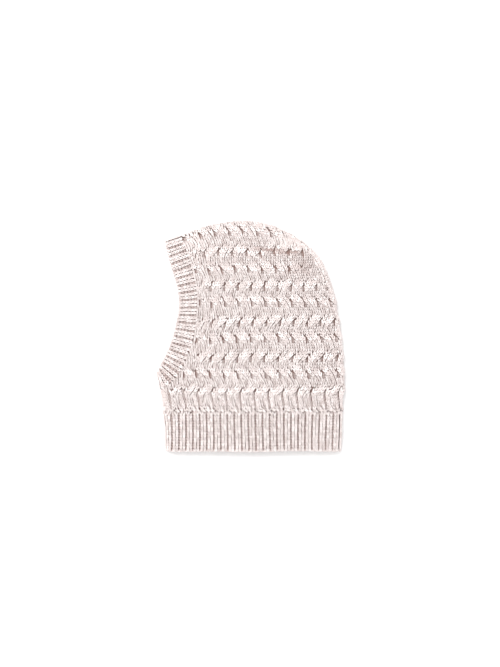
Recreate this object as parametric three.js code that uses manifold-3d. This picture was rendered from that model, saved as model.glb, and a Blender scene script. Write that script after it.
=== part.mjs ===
// A small child's knitted hood, laid flat on its side.
// Millimetres. X runs from the face to the back of the head, Y from the neck to the crown, and
// Z up from the surface that the hood lies on. The origin is the middle of its footprint.
// The hood is one knitted shell of two layers, joined by the folds down the neck front, over the
// crown and down the back, and open at the face and at the hem.

import * as THREE from "three";
import { mergeVertices } from "three/addons/utils/BufferGeometryUtils.js";
import Module from "manifold-3d";

const wasm = await Module();
wasm.setup();

// Driving sizes
const HEM_Y = -120;
const RIB_TOP_Y = -78;
const WALL = 4.2;
const FOLD_THICKNESS = 15;
const LOFT = 8;
const LOFT_REACH = 58;
const MOUTH_LOFT = 0.35;
const MOUTH_REACH = 60;
const PIECE_GAP = 0.3;
const HOLLOW_REACH = 6;
const CUTTER_REACH = 20;
const TOUCH = 1e-4;

// How finely the shell is divided
const FOLD_STEPS = 4;
const COLUMNS = 17;
const NECK_ROWS = 8;
const HEAD_ROWS = 13;
const OUTLINE_STEPS = 60;
const SEAM_STEPS = 22;

// The fold down the front of the neck, from the hem up to the chin corner
const NECK_FRONT = [
  { y: HEM_Y, x: -88.3 },
  { y: -95, x: -88.9 },
  { y: -72, x: -91.3 },
  { y: -52, x: -94.8 },
  { y: -37, x: -97.4 },
];

// The free edge round the face, from the chin corner up to the forehead corner
const FACE_EDGE = [
  { y: -37, x: -97.4 },
  { y: -25, x: -91.5 },
  { y: -8, x: -83 },
  { y: 12, x: -77.4 },
  { y: 33, x: -74.9 },
  { y: 54, x: -77.6 },
  { y: 76, x: -83.8 },
  { y: 98.6, x: -89.3 },
];

// The fold over the crown, from the forehead corner to the nape side
const CROWN = [
  { x: -89.3, y: 98.6 },
  { x: -67, y: 107 },
  { x: -43, y: 115 },
  { x: -8, y: 120 },
  { x: 20, y: 115.8 },
  { x: 45, y: 104.8 },
  { x: 62, y: 92 },
  { x: 72, y: 81 },
  { x: 79.5, y: 66 },
];

// The fold down the back of the head and neck, from the hem up to where the crown begins
const BACK = [
  { y: HEM_Y, x: 93.8 },
  { y: -95, x: 94.9 },
  { y: -72, x: 95.6 },
  { y: -50, x: 97.4 },
  { y: -25, x: 96.4 },
  { y: 0, x: 94.2 },
  { y: 20, x: 91 },
  { y: 38, x: 88 },
  { y: 52, x: 84.4 },
  { y: 66, x: 79.5 },
];

// The line where the face band is picked up along the body, from the neck front to the crown
const BAND_SEAM = [
  { x: -104, y: -58 },
  { x: -93, y: -53.2 },
  { x: -82, y: -48 },
  { x: -73.6, y: -38 },
  { x: -65.5, y: -20 },
  { x: -59, y: -3 },
  { x: -56.6, y: 20 },
  { x: -56, y: 42 },
  { x: -59, y: 62 },
  { x: -64, y: 80 },
  { x: -70, y: 98 },
  { x: -77, y: 118 },
];

// Soft dents in the upper layer: the shaped hollow at the back of the crown, the crease that
// runs from it towards the face, and the slack under the chin
const DENTS = [
  { x: 57, y: 79, reachX: 13, reachY: 14, depth: 2.6 },
  { x: 28, y: 87, reachX: 30, reachY: 5, depth: 1.5 },
  { x: -78, y: -66, reachX: 16, reachY: 9, depth: 1.2 },
];

// Value of the smooth curve through the rows of a table, straight on past its ends
function follow(rows, from, to, at) {
  const last = rows.length - 1;
  const slope = (a, b) => (rows[b][to] - rows[a][to]) / (rows[b][from] - rows[a][from]);
  const tangents = rows.map((_, k) => slope(Math.max(k - 1, 0), Math.min(k + 1, last)));
  if (at <= rows[0][from]) {
    return rows[0][to] + tangents[0] * (at - rows[0][from]);
  }
  if (at >= rows[last][from]) {
    return rows[last][to] + tangents[last] * (at - rows[last][from]);
  }
  const k = rows.findIndex((row) => row[from] > at) - 1;
  const span = rows[k + 1][from] - rows[k][from];
  const t = (at - rows[k][from]) / span;
  const bow = (1 - t) * tangents[k] * span * t * (1 - t) - t * tangents[k + 1] * span * t * (1 - t);
  const ease = t * t * (3 - 2 * t);
  return THREE.MathUtils.lerp(rows[k][to], rows[k + 1][to], ease) + bow;
}

// Slope of that curve
function slopeOf(rows, from, to, at) {
  const step = 0.5;
  return (follow(rows, from, to, at + step) - follow(rows, from, to, at - step)) / (2 * step);
}

// Points along a stretch of the outline
function trace(rows, from, to) {
  const points = [];
  for (let k = 0; k <= OUTLINE_STEPS; k += 1) {
    const at = THREE.MathUtils.lerp(rows[0][from], rows[rows.length - 1][from], k / OUTLINE_STEPS);
    const value = follow(rows, from, to, at);
    points.push(from === "x" ? new THREE.Vector2(at, value) : new THREE.Vector2(value, at));
  }
  return points;
}

const FOLD_LINES = [trace(NECK_FRONT, "y", "x"), trace(CROWN, "x", "y"), trace(BACK, "y", "x")];
const FACE_LINE = [trace(FACE_EDGE, "y", "x")];

// Plan distance from a point to the nearest of some lines
function distanceTo(lines, point) {
  let nearest = Infinity;
  for (const line of lines) {
    for (let k = 1; k < line.length; k += 1) {
      const along = line[k].clone().sub(line[k - 1]);
      const reach = point.clone().sub(line[k - 1]).dot(along) / along.lengthSq();
      const foot = line[k - 1].clone().addScaledVector(along, THREE.MathUtils.clamp(reach, 0, 1));
      nearest = Math.min(nearest, foot.distanceTo(point));
    }
  }
  return nearest;
}

// How far the upper layer stands above its height at the folds
function loftAt(point) {
  const fold = THREE.MathUtils.smoothstep(distanceTo(FOLD_LINES, point), 0, LOFT_REACH);
  const hem = THREE.MathUtils.smoothstep(point.y - HEM_Y, 0, MOUTH_REACH);
  const face = THREE.MathUtils.smoothstep(distanceTo(FACE_LINE, point), 0, MOUTH_REACH);
  const mouths = THREE.MathUtils.lerp(MOUTH_LOFT, 1, Math.min(hem, face));
  let height = LOFT * fold * mouths;
  for (const dent of DENTS) {
    const away = Math.hypot((point.x - dent.x) / dent.reachX, (point.y - dent.y) / dent.reachY);
    height -= dent.depth * Math.exp(-away * away);
  }
  return height;
}

// The four sides of the plan outline, drawn in by the inset at the folds. The hollow's sides run
// out past the free edges by the reach.
function sidesOf(inset, reach) {
  const between = THREE.MathUtils.lerp;
  const chinY = FACE_EDGE[0].y;
  const bottomY = HEM_Y - reach;
  const frontX = (y) => follow(NECK_FRONT, "y", "x", y) + inset;
  const faceX = (y) => Math.max(follow(FACE_EDGE, "y", "x", y) - reach, frontX(y));
  const backX = (y) => {
    const slope = slopeOf(BACK, "y", "x", y);
    return follow(BACK, "y", "x", y) - inset * Math.hypot(1, slope);
  };
  const crownY = (x) => {
    const slope = slopeOf(CROWN, "x", "y", x);
    return follow(CROWN, "x", "y", x) - inset * Math.hypot(1, slope);
  };
  const foreheadY = crownY(CROWN[0].x - reach);
  const nape = BACK[BACK.length - 1];
  const napeSlope = slopeOf(BACK, "y", "x", nape.y);
  const napeX = nape.x - inset / Math.hypot(1, napeSlope);
  const napeY = nape.y + (inset * napeSlope) / Math.hypot(1, napeSlope);
  return {
    chin: (chinY - bottomY) / (foreheadY - bottomY),
    left: (v) => {
      const y = between(bottomY, foreheadY, v);
      return new THREE.Vector2(y < chinY + TOUCH ? frontX(y) : faceX(y), y);
    },
    right: (v) => {
      const y = between(bottomY, napeY, v);
      return new THREE.Vector2(backX(y), y);
    },
    bottom: (u) => new THREE.Vector2(between(frontX(bottomY), backX(bottomY), u), bottomY),
    top: (u) => {
      const x = between(faceX(foreheadY), napeX, u);
      return new THREE.Vector2(x, crownY(x));
    },
  };
}

// A point of the plan outline's own grid, from its four sides
function planPoint(sides, u, v) {
  const point = sides.bottom(u).multiplyScalar(1 - v);
  point.addScaledVector(sides.top(u), v);
  point.addScaledVector(sides.left(v), 1 - u);
  point.addScaledVector(sides.right(v), u);
  point.addScaledVector(sides.bottom(0), -(1 - u) * (1 - v));
  point.addScaledVector(sides.bottom(1), -u * (1 - v));
  point.addScaledVector(sides.top(0), -(1 - u) * v);
  return point.addScaledVector(sides.top(1), -u * v);
}

// Even steps between two fractions, without the last
function evenSteps(from, to, count) {
  return Array.from({ length: count }, (_, k) => THREE.MathUtils.lerp(from, to, k / count));
}

// Steps that follow a fold's round edge, as fractions of a size, from the fold inwards
function foldSteps(radius, size) {
  const quarter = Math.PI / 2;
  return evenSteps(0, quarter, FOLD_STEPS).map((angle) => (radius * (1 - Math.cos(angle))) / size);
}

// Fractions across and up the outline's grid, close together where the folds round over
function gridLines(sides, radius) {
  const width = BACK[0].x - NECK_FRONT[0].x;
  const height = CROWN[0].y - HEM_Y;
  const across = foldSteps(radius, width);
  const upward = foldSteps(radius, height);
  const columns = [
    ...across,
    ...evenSteps(radius / width, 1 - radius / width, COLUMNS),
    1 - radius / width,
    ...across.map((step) => 1 - step).reverse(),
  ];
  const rows = [
    ...evenSteps(0, sides.chin, NECK_ROWS),
    ...evenSteps(sides.chin, 1 - radius / height, HEAD_ROWS),
    1 - radius / height,
    ...upward.map((step) => 1 - step).reverse(),
  ];
  return { columns, rows };
}

// A closed surface over a grid of points, each with an upper and a lower place
function closedSurface(places, columnCount) {
  const lastRow = places.length / columnCount - 1;
  const lastColumn = columnCount - 1;
  const upper = (row, column) => 2 * (row * columnCount + column);
  const lower = (row, column) => upper(row, column) + 1;
  const faces = [];
  const wall = (rowA, columnA, rowB, columnB) => {
    faces.push(lower(rowA, columnA), lower(rowB, columnB), upper(rowB, columnB));
    faces.push(lower(rowA, columnA), upper(rowB, columnB), upper(rowA, columnA));
  };
  for (let row = 0; row < lastRow; row += 1) {
    for (let column = 0; column < lastColumn; column += 1) {
      faces.push(upper(row, column), upper(row, column + 1), upper(row + 1, column + 1));
      faces.push(upper(row, column), upper(row + 1, column + 1), upper(row + 1, column));
      faces.push(lower(row, column), lower(row + 1, column + 1), lower(row, column + 1));
      faces.push(lower(row, column), lower(row + 1, column), lower(row + 1, column + 1));
    }
    wall(row + 1, 0, row, 0);
    wall(row, lastColumn, row + 1, lastColumn);
  }
  for (let column = 0; column < lastColumn; column += 1) {
    wall(0, column, 0, column + 1);
    wall(lastRow, column + 1, lastRow, column);
  }
  const positions = places.flatMap(({ x, y, top, bottom }) => [x, y, top, x, y, bottom]);
  const geometry = new THREE.BufferGeometry();
  geometry.setAttribute("position", new THREE.Float32BufferAttribute(positions, 3));
  geometry.setIndex(faces);
  return geometry;
}

// One closed body over the whole outline: the shell's outside, or the hollow inside it
function roundedSlab(inset, reach) {
  const sides = sidesOf(inset, reach);
  const radius = FOLD_THICKNESS / 2 - inset;
  const middle = FOLD_THICKNESS / 2;
  const { columns, rows } = gridLines(sides, radius);
  const along = (side) => evenSteps(0, 1 + 1 / OUTLINE_STEPS, OUTLINE_STEPS + 1).map(side);
  const foldLines = [
    along((t) => sides.left(t * sides.chin)),
    along((t) => planPoint(sides, t, 1)),
    along((t) => sides.right(t)),
  ];
  const places = [];
  rows.forEach((v, row) => {
    columns.forEach((u, column) => {
      const point = planPoint(sides, u, v);
      const neckFront = column === 0 && v < sides.chin + TOUCH;
      const onFold = neckFront || column === columns.length - 1 || row === rows.length - 1;
      const share = onFold ? 0 : Math.min(distanceTo(foldLines, point) / radius, 1);
      const lift = radius * Math.sqrt(1 - (1 - share) ** 2);
      const top = middle + lift + loftAt(point) * share;
      places.push({ x: point.x, y: point.y, top, bottom: middle - lift });
    });
  });
  return closedSurface(places, columns.length);
}

// A closed geometry as a solid that can be joined and cut
function solidOf(geometry) {
  const bare = geometry.clone();
  bare.deleteAttribute("normal");
  bare.deleteAttribute("uv");
  const merged = mergeVertices(bare, TOUCH);
  const triangles = [];
  for (let k = 0; k < merged.index.count; k += 3) {
    const [a, b, c] = [0, 1, 2].map((corner) => merged.index.getX(k + corner));
    if (a !== b && b !== c && c !== a) {
      triangles.push(a, b, c);
    }
  }
  const mesh = new wasm.Mesh({
    numProp: 3,
    vertProperties: merged.attributes.position.array,
    triVerts: new Uint32Array(triangles),
  });
  return new wasm.Manifold(mesh);
}

// A named mesh from a solid
function pieceOf(name, solid, material) {
  const mesh = solid.getMesh();
  const geometry = new THREE.BufferGeometry();
  geometry.setAttribute("position", new THREE.BufferAttribute(mesh.vertProperties, 3));
  geometry.setIndex(new THREE.BufferAttribute(mesh.triVerts, 1));
  geometry.computeVertexNormals();
  const piece = new THREE.Mesh(geometry, material);
  piece.name = name;
  return piece;
}

// Everything on the face side of the seam, moved off the seam line by the shift
function faceSide(shift) {
  const seam = new THREE.SplineCurve(BAND_SEAM.map((row) => new THREE.Vector2(row.x, row.y)));
  const outline = new THREE.Shape();
  for (let k = 0; k <= SEAM_STEPS; k += 1) {
    const point = seam.getPoint(k / SEAM_STEPS);
    const tangent = seam.getTangent(k / SEAM_STEPS);
    const x = point.x - tangent.y * shift;
    const y = point.y + tangent.x * shift;
    if (k === 0) {
      outline.moveTo(x, y);
    } else {
      outline.lineTo(x, y);
    }
  }
  const outX = BAND_SEAM[0].x - CUTTER_REACH;
  outline.lineTo(outX, BAND_SEAM[BAND_SEAM.length - 1].y);
  outline.lineTo(outX, BAND_SEAM[0].y);
  outline.closePath();
  const depth = FOLD_THICKNESS + LOFT + 2 * CUTTER_REACH;
  const block = new THREE.ExtrudeGeometry(outline, { depth, bevelEnabled: false });
  block.translate(0, 0, -CUTTER_REACH);
  return solidOf(block);
}

// Everything below a height
function below(y) {
  const width = 3 * (BACK[0].x - NECK_FRONT[0].x);
  const tall = y - HEM_Y + CUTTER_REACH;
  const deep = FOLD_THICKNESS + LOFT + 2 * CUTTER_REACH;
  const block = new THREE.BoxGeometry(width, tall, deep);
  block.translate(0, y - tall / 2, deep / 2 - CUTTER_REACH);
  return solidOf(block);
}

const YARN = { color: 0xe9ded8, roughness: 0.95, metalness: 0 };

const shell = solidOf(roundedSlab(0, 0)).subtract(solidOf(roundedSlab(WALL, HOLLOW_REACH)));
const neck = shell.intersect(below(RIB_TOP_Y - PIECE_GAP / 2));
const band = shell.intersect(faceSide(PIECE_GAP / 2));
const aboveNeck = shell.subtract(below(RIB_TOP_Y + PIECE_GAP / 2));
const body = aboveNeck.subtract(faceSide(-PIECE_GAP / 2));

const group = new THREE.Group();
group.add(pieceOf("hood_body", body, new THREE.MeshStandardMaterial(YARN)));
group.add(pieceOf("face_band", band, new THREE.MeshStandardMaterial(YARN)));
group.add(pieceOf("neck_rib", neck, new THREE.MeshStandardMaterial(YARN)));

export default group;
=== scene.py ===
# A small child's knitted hood, laid flat on its side: the looks.
# Sizes are millimetres and are turned into metres where a mesh is made. The hood is a core shell
# with every stitch laid on it. Each layer is drawn on a flat sheet that runs on past the folds,
# and the sheet is then wrapped round them. A side is 1 for the upper layer and -1 for the lower.

import copy
import math
from functools import partial

import bpy
import numpy as np
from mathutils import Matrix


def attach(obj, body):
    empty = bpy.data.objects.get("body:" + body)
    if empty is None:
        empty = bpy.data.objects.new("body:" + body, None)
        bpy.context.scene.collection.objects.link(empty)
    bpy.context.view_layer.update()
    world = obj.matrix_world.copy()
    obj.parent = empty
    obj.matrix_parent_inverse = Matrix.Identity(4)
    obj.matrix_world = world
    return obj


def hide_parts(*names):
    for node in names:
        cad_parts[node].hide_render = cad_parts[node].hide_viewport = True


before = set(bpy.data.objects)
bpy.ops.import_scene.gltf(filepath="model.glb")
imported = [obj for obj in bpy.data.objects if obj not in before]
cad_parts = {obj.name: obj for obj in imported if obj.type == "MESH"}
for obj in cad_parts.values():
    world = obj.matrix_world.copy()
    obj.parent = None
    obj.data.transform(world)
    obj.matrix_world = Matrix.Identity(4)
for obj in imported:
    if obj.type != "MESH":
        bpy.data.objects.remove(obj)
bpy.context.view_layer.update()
scene = bpy.context.scene

MM = 0.001
SEED = 11
rng = np.random.default_rng(SEED)

# The knit's gauge: a row and a unit of six wales, in the body and at the crown
ROW = 2.84
CROWN_ROW = 2.56
UNIT = 14.25
CROWN_UNIT = 14.8
WALES = 6

# Sizes shared with the frame
HEM_Y = -120.0
RIB_HEIGHT = 42.0
RIB_TOP_Y = HEM_Y + RIB_HEIGHT
KNIT_START_Y = RIB_TOP_Y - ROW
WALL = 4.2
FOLD_RADIUS = 7.5
QUARTER = FOLD_RADIUS * math.pi / 2
UNFOLD = QUARTER - FOLD_RADIUS

# How high the upper layer stands, how soon it rises from the folds, and the same for the mouths
LOFT = 8.0
LOFT_REACH = 58.0
MOUTH_LOFT = 0.35
MOUTH_REACH = 60.0

# Outlines of the plan in rows of (y, x), and the crown's in rows of (x, y)
NECK_FRONT = [(-120, -88.3), (-95, -88.9), (-72, -91.3), (-52, -94.8), (-37, -97.4)]
FACE_EDGE = [
    (-37, -97.4), (-25, -91.5), (-8, -83), (12, -77.4),
    (33, -74.9), (54, -77.6), (76, -83.8), (98.6, -89.3),
]
CROWN = [
    (-89.3, 98.6), (-67, 107), (-43, 115), (-8, 120), (20, 115.8),
    (45, 104.8), (62, 92), (72, 81), (79.5, 66),
]
BACK = [
    (-120, 93.8), (-95, 94.9), (-72, 95.6), (-50, 97.4), (-25, 96.4),
    (0, 94.2), (20, 91), (38, 88), (52, 84.4), (66, 79.5),
]
BAND_SEAM = [
    (-58, -104), (-53.2, -93), (-48, -82), (-38, -73.6), (-20, -65.5), (-3, -59),
    (20, -56.6), (42, -56), (62, -59), (80, -64), (98, -70), (118, -77),
]

# Hollows of the upper layer: x, y, reach in x and in y, depth
DENTS = [
    (56, 74, 12, 13, 3.2),
    (28, 87, 30, 5, 1.5),
    (-78, -66, 16, 9, 1.2),
]

# Units of the body from the front fold to the back one. Unit 0 begins at the anchor line of (y, x)
FIRST_UNIT = -4
LAST_UNIT = 9
ANCHOR = [(-120, -41.3), (40, -41.4), (55, -42.8), (70, -45), (87, -48.9), (104, -52.2), (120, -56)]
CREST_GAP = {1: 9.6, -1: 4.6}
PLAIN_WALES = 7

# Cable crossings, from the neck up: the front strand leans one way, then the other
CROSSINGS = [-76.8, -56.0, -37.3, -20.6, -0.4, 16.0, 37.0, 53.6, 71.2, 89.4, 111.0]
CROSSING_VARY = 0.5
CROSS_HALF = 7.4
FIRST_HALF = 4.5
FIRST_SPLIT = 2.5

# The front strand at a crossing. Places across are parts of a unit
STRAND_HALF = 0.25
FRONT_SPREAD = 0.72
SPREAD_VARY = 0.07
FRONT_WIDER = 0.24
FRONT_RISE = 0.95
STRAND_ROUND = 0.22

# The back strand: its squeeze, where it is covered, the opening below it and the slit beside it
BACK_SQUEEZE = 0.25
COVER_BELOW = -0.08
COVER_ABOVE = -0.14
COVER_FULL = 0.06
COVERED = 2.0
OPEN_DROP = 2.1
OPEN_SHARES = [0.6, 0.8, 1.0]
OPEN_FROM = -0.7
OPEN_TO = -0.26
OPEN_ABOVE = 0.32
UNDER_DROP = 0.3
BETWEEN_SHIFT = 0.06
SLIT_DROP = 1.5
SLIT_GAP = 0.05
SLIT_WIDER = 0.16
FIRST_SLIT = 0.8

# Painted shade: how much darker the yarn is coloured in the shade of its neighbours
COVERED_DARK = 0.6
PLAIN_DARK = 0.05
CREASE_DARK = 0.65
HOLLOW_DARK = 0.35
GROOVE_DARK = 0.45
RIB_PURL_DARK = 0.6
BAND_PURL_DARK = 0.5

# Sideways sway of the knit at each crossing: at the front of the body, its middle and the back
SWAY = [
    (1.8, 1.4, 0.7), (1.8, 1.4, 0.7), (-2.0, -3.8, -2.4), (0.9, -2.0, -0.6),
    (-1.2, -3.6, -1.8), (2.4, 1.3, 1.2), (-0.6, 0.0, -1.0), (2.8, 3.8, 2.4),
    (0.2, 0.0, 0.0), (1.6, 0.7, 0.7), (-0.7, -0.7, -0.7),
]
SWAY_REACH = 22.0
RIB_DRIFT = 2.4

# The crown: the bow of its rows, the crease (x, y), the painted shade of its hollow (x, y, reach
# in x and in y) and the line (y, x) where the cables fade
CREST_BOW = 0.6
CREASE = [(4, 91.5), (30, 88.5), (56, 85.3)]
CREASE_DEPTH = 1.6
CREASE_HALF = 2.0
HOLLOW_SHADE = (55, 73, 11, 12)
PLAIN_EDGE = [(58, 62), (70, 50), (84, 50), (92, 56), (100, 40), (112, 28)]

# The strip of wales that follows the back of the crown, right of this line of (y, x)
DART = [(36, 99), (50, 81), (64, 71.5), (77, 66.5), (90, 59), (100, 51), (114, 38)]
DART_DROP = 0.5
STRIP_WALES = 13
STRIP_WALE = 2.4
STRIP_FROM = 30

# How far the stitches run past the folds' crests, and stop short of them on the other layer
PAST_BACK = -6
PAST_CROWN = -0.7
PAST_RIB = -3
SHORT_OF_CREST = 0.6
RIB_SHORT = 0.3
BACK_FROM_X = 60

# How the body's stitches meet the band and the rib
SEAM_LIMIT = -0.8
SEAM_DROP = 0.9
GROOVE_DROP = 1.3

# The neck rib: two ribs a unit, each a purl groove and two knit wales
RIB_START = -38.2
RIB_PITCH = 7.28
RIB_UNIT = 2 * RIB_PITCH
RIB_PLACES = [0.0, 2.18, 5.10, RIB_PITCH, RIB_PITCH + 2.18, RIB_PITCH + 5.10]
PURL = [0, 3]
KNIT_WIDTH = 3.1
PURL_WIDTH = 1.9
PURL_DROP = 1.75
PURL_LENGTH = 1.25

# The face band, from the chin to the forehead, where its ribs stand wider apart
BAND_RIBS = 20.5
BAND_START = 0.25
BAND_PLACES = [0.0, 0.305, 0.695]
WIDER_FROM = 11
WIDER = 0.001
BAND_ROWS = 6
BAND_OUTSIDE_ROWS = BAND_ROWS + 0.2
BAND_INSIDE_ROWS = BAND_ROWS + 0.45
BAND_INSIDE_FIRST = 0.75
BAND_KNIT_WIDTH = 0.405
BAND_PURL_WIDTH = 0.26

# The shares of the face edge between which each layer has stitches
BAND_REACH = {1: (-0.004, 1.012), -1: (0, 1.001)}

# Shares of the band's seam for shares of the face edge
BAND_LINK = [
    (0, 0), (0.095, 0.138), (0.229, 0.29), (0.375, 0.436),
    (0.524, 0.577), (0.65, 0.70), (0.76, 0.808), (0.85, 0.888), (1, 1),
]


def smoothstep(value, low, high):
    """0 up to low, 1 from high on, and a smooth rise between."""
    t = np.clip((np.asarray(value, float) - low) / (high - low), 0, 1)
    return t * t * (3 - 2 * t)


def lerp(a, b, t):
    """The value at a share t of the way from a to b."""
    return a + (b - a) * t


def pairs(x, y):
    """Places from an x and a y for each."""
    return np.stack(np.broadcast_arrays(x, y), axis=-1)


def unit(vectors):
    """The vectors at a length of 1."""
    return vectors / np.linalg.norm(vectors, axis=1)[:, None]


def quarter_turn(vectors):
    """The vectors turned left by a right angle."""
    return pairs(-vectors[:, 1], vectors[:, 0])


def combined(*numbers):
    """Every combination of these numbers, as flat arrays."""
    return [v.ravel() for v in np.meshgrid(*numbers, indexing="ij")]


def follow(rows, at):
    """The smooth curve through the rows (from, to) of a table, straight on past its ends."""
    starts, ends = np.array(rows, float).T
    at = np.asarray(at, float)
    last = len(starts) - 1
    before = np.maximum(np.arange(last + 1) - 1, 0)
    after = np.minimum(np.arange(last + 1) + 1, last)
    slopes = (ends[after] - ends[before]) / (starts[after] - starts[before])
    k = np.clip(np.searchsorted(starts, at, side="right") - 1, 0, last - 1)
    span = starts[k + 1] - starts[k]
    t = np.clip((at - starts[k]) / span, 0, 1)
    bow = ((1 - t) * slopes[k] - t * slopes[k + 1]) * span * t * (1 - t)
    inside = lerp(ends[k], ends[k + 1], t * t * (3 - 2 * t)) + bow
    short, past = np.minimum(at - starts[0], 0), np.maximum(at - starts[-1], 0)
    return inside + slopes[0] * short + slopes[-1] * past


# Lines of the plan

def trace(rows, by, steps=60):
    """Points along a table's curve; by says which of x and y its first column is."""
    at = np.linspace(rows[0][0], rows[-1][0], steps + 1)
    value = follow(rows, at)
    return pairs(at, value) if by == "x" else pairs(value, at)


def normals_of(points):
    """Unit normals of a line, on the side of the plan's middle."""
    across = quarter_turn(unit(np.gradient(points, axis=0)))
    flip = np.sign(np.sum(across * -points, axis=1))
    return across * flip[:, None]


FOLDS = [trace(NECK_FRONT, "y"), trace(CROWN, "x"), trace(BACK, "y")]
CRESTS = [points - normals_of(points) * UNFOLD for points in FOLDS]
FACE_LINE = [trace(FACE_EDGE, "y")]


def nearest(lines, places):
    """Signed distance to the nearest line, its foot there and the way in."""
    best = np.full(len(places), np.inf)
    foot = np.zeros_like(places)
    way = np.zeros_like(places)
    for points in lines:
        normals = normals_of(points)
        start, along = points[:-1], np.diff(points, axis=0)
        reach = np.einsum("nsk,sk->ns", places[:, None] - start, along) / np.sum(along ** 2, axis=1)
        reach = np.clip(reach, 0, 1)
        feet = start + reach[..., None] * along
        away = np.linalg.norm(places[:, None] - feet, axis=2)
        k = away.argmin(axis=1)
        n = np.arange(len(places))
        closer = away[n, k] < best
        best = np.where(closer, away[n, k], best)
        t = reach[n, k][:, None]
        foot = np.where(closer[:, None], feet[n, k], foot)
        way = np.where(closer[:, None], lerp(normals[:-1][k], normals[1:][k], t), way)
    way = unit(way)
    sign = np.where(np.sum((places - foot) * way, axis=1) < 0, -1.0, 1.0)
    straight = (places - foot) * sign[:, None] / np.maximum(best, 1e-9)[:, None]
    way = np.where((best > 0.5)[:, None], straight, way)
    return best * sign, foot, way


def loft_at(plan, fold_distance):
    """How far the upper layer stands above its height at the folds."""
    fold = smoothstep(fold_distance, 0, LOFT_REACH)
    hem = smoothstep(plan[:, 1] - HEM_Y, 0, MOUTH_REACH)
    face = smoothstep(np.abs(nearest(FACE_LINE, plan)[0]), 0, MOUTH_REACH)
    height = LOFT * fold * lerp(MOUTH_LOFT, 1, np.minimum(hem, face))
    for x, y, reach_x, reach_y, depth in DENTS:
        away = ((plan[:, 0] - x) / reach_x) ** 2 + ((plan[:, 1] - y) / reach_y) ** 2
        height = height - depth * np.exp(-away)
    return height


def wrap(sheet, side):
    """Places on the hood's outside, from places on a layer's flat sheet that runs on past the folds."""
    arc, foot, way = nearest(CRESTS, sheet)
    turned = np.clip(arc, -QUARTER, QUARTER) / FOLD_RADIUS
    inside = np.where(np.abs(arc) < QUARTER, FOLD_RADIUS * (1 - np.cos(turned)), np.abs(arc) - UNFOLD)
    folded = foot + way * (UNFOLD + inside)[:, None]
    plan = np.where((arc >= QUARTER)[:, None], sheet, folded)
    lift = side * FOLD_RADIUS * np.sin(turned)
    share = np.minimum(inside / FOLD_RADIUS, 1)
    loft = np.where(lift > 0, loft_at(plan, inside) * share, 0)
    return np.column_stack([plan, FOLD_RADIUS + lift + loft])


def unfold(plan):
    """Places on the flat sheet, from places of the plan."""
    inside, foot, way = nearest(FOLDS, plan)
    turned = np.arccos(1 - np.clip(inside / FOLD_RADIUS, 0, 1)) * FOLD_RADIUS
    arc = np.where(inside < FOLD_RADIUS, turned, inside + UNFOLD)
    return foot + way * (arc - UNFOLD)[:, None]


# Stitches

# How far the floor presses them in, the relief that stays, the gap over it, and the painted
# shade of a stitch's lower half
PRESS = 0.85
PRESSED_RELIEF = 0.4
FLOOR_GAP = 0.02
LOWER_HALF_SHADE = 0.8

# At the mouths: the height of the finished edge, the rows inside and two ways to point
EDGE_HEIGHT = -2.2
INSIDE_ROWS = 5
UPWARD = (0.0, 1.0)
SIDEWAYS = (1.0, 0.0)


def leg_template(sides, x, y, z, width, thick):
    """A leg of a stitch: a closed spindle along a bent axis. x, y and z each give the axis at five
    stations, in widths, rows and millimetres."""
    stations = [-1, -0.62, 0, 0.62, 1]
    girth = [0, 0.86, 1, 0.86, 0]
    verts, along, around = [], [], []
    for k, station in enumerate(stations):
        turns = [0] if girth[k] == 0 else np.arange(sides) * 2 * math.pi / sides - math.pi / 2
        for turn in turns:
            out, up = width * girth[k] * math.cos(turn), thick * girth[k] * math.sin(turn)
            verts.append((x[k] + out, y[k], z[k] + up))
            along.append(station)
            around.append(turn)
    rings = 1 + np.arange(3 * sides).reshape(3, sides)
    low_tip, high_tip = 0, 1 + 3 * sides
    faces = []
    for s in range(sides):
        s_next = (s + 1) % sides
        faces.append((low_tip, rings[0, s_next], rings[0, s]))
        for r in range(2):
            faces.append((rings[r, s], rings[r, s_next], rings[r + 1, s_next]))
            faces.append((rings[r, s], rings[r + 1, s_next], rings[r + 1, s]))
        faces.append((rings[2, s], rings[2, s_next], high_tip))
    return np.array(verts), np.array(faces), np.array(along), np.array(around)


def joined(parts):
    """Several meshes as one. Each is its vertices, its faces and what each vertex carries."""
    verts, faces, *carried = zip(*parts)
    starts = np.cumsum([0] + [len(v) for v in verts[:-1]])
    moved = [f + start for f, start in zip(faces, starts)]
    return [np.concatenate(lots) for lots in (verts, moved, *carried)]


def knit_template(sides=5):
    """A knit stitch: two legs that make a V."""
    legs = []
    for hand in (-1, 1):
        x = [hand * v for v in (0.04, 0.12, 0.198, 0.30, 0.37)]
        y = [-0.79, -0.46, 0.0, 0.46, 0.79]
        z = [-0.50, 0.06, 0.16, -0.06, -0.62]
        legs.append(leg_template(sides, x, y, z, 0.223, 0.70))
    return joined(legs)


def purl_template(sides=5):
    """A purl stitch in a groove: one bump across the wale."""
    axis = [-0.8, -0.5, 0, 0.5, 0.8]
    verts, faces, along, around = leg_template(sides, [0] * 5, axis, [-0.2, 0, 0.1, 0, -0.2], 0.42, 0.6)
    turned = np.stack([verts[:, 1], -verts[:, 0], verts[:, 2]], axis=1)
    return turned, faces, along, around


def link_template(sides=6):
    """A link of a mouth's finished edge, long in the direction of the edge."""
    axis = [-0.85, -0.5, 0, 0.5, 0.85]
    return leg_template(sides, [0] * 5, axis, [-0.5, -0.3, 0, 0.3, 0.5], 0.5, 1.35)


KNIT = knit_template()
BUMP = purl_template()
LINK = link_template()


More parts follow.
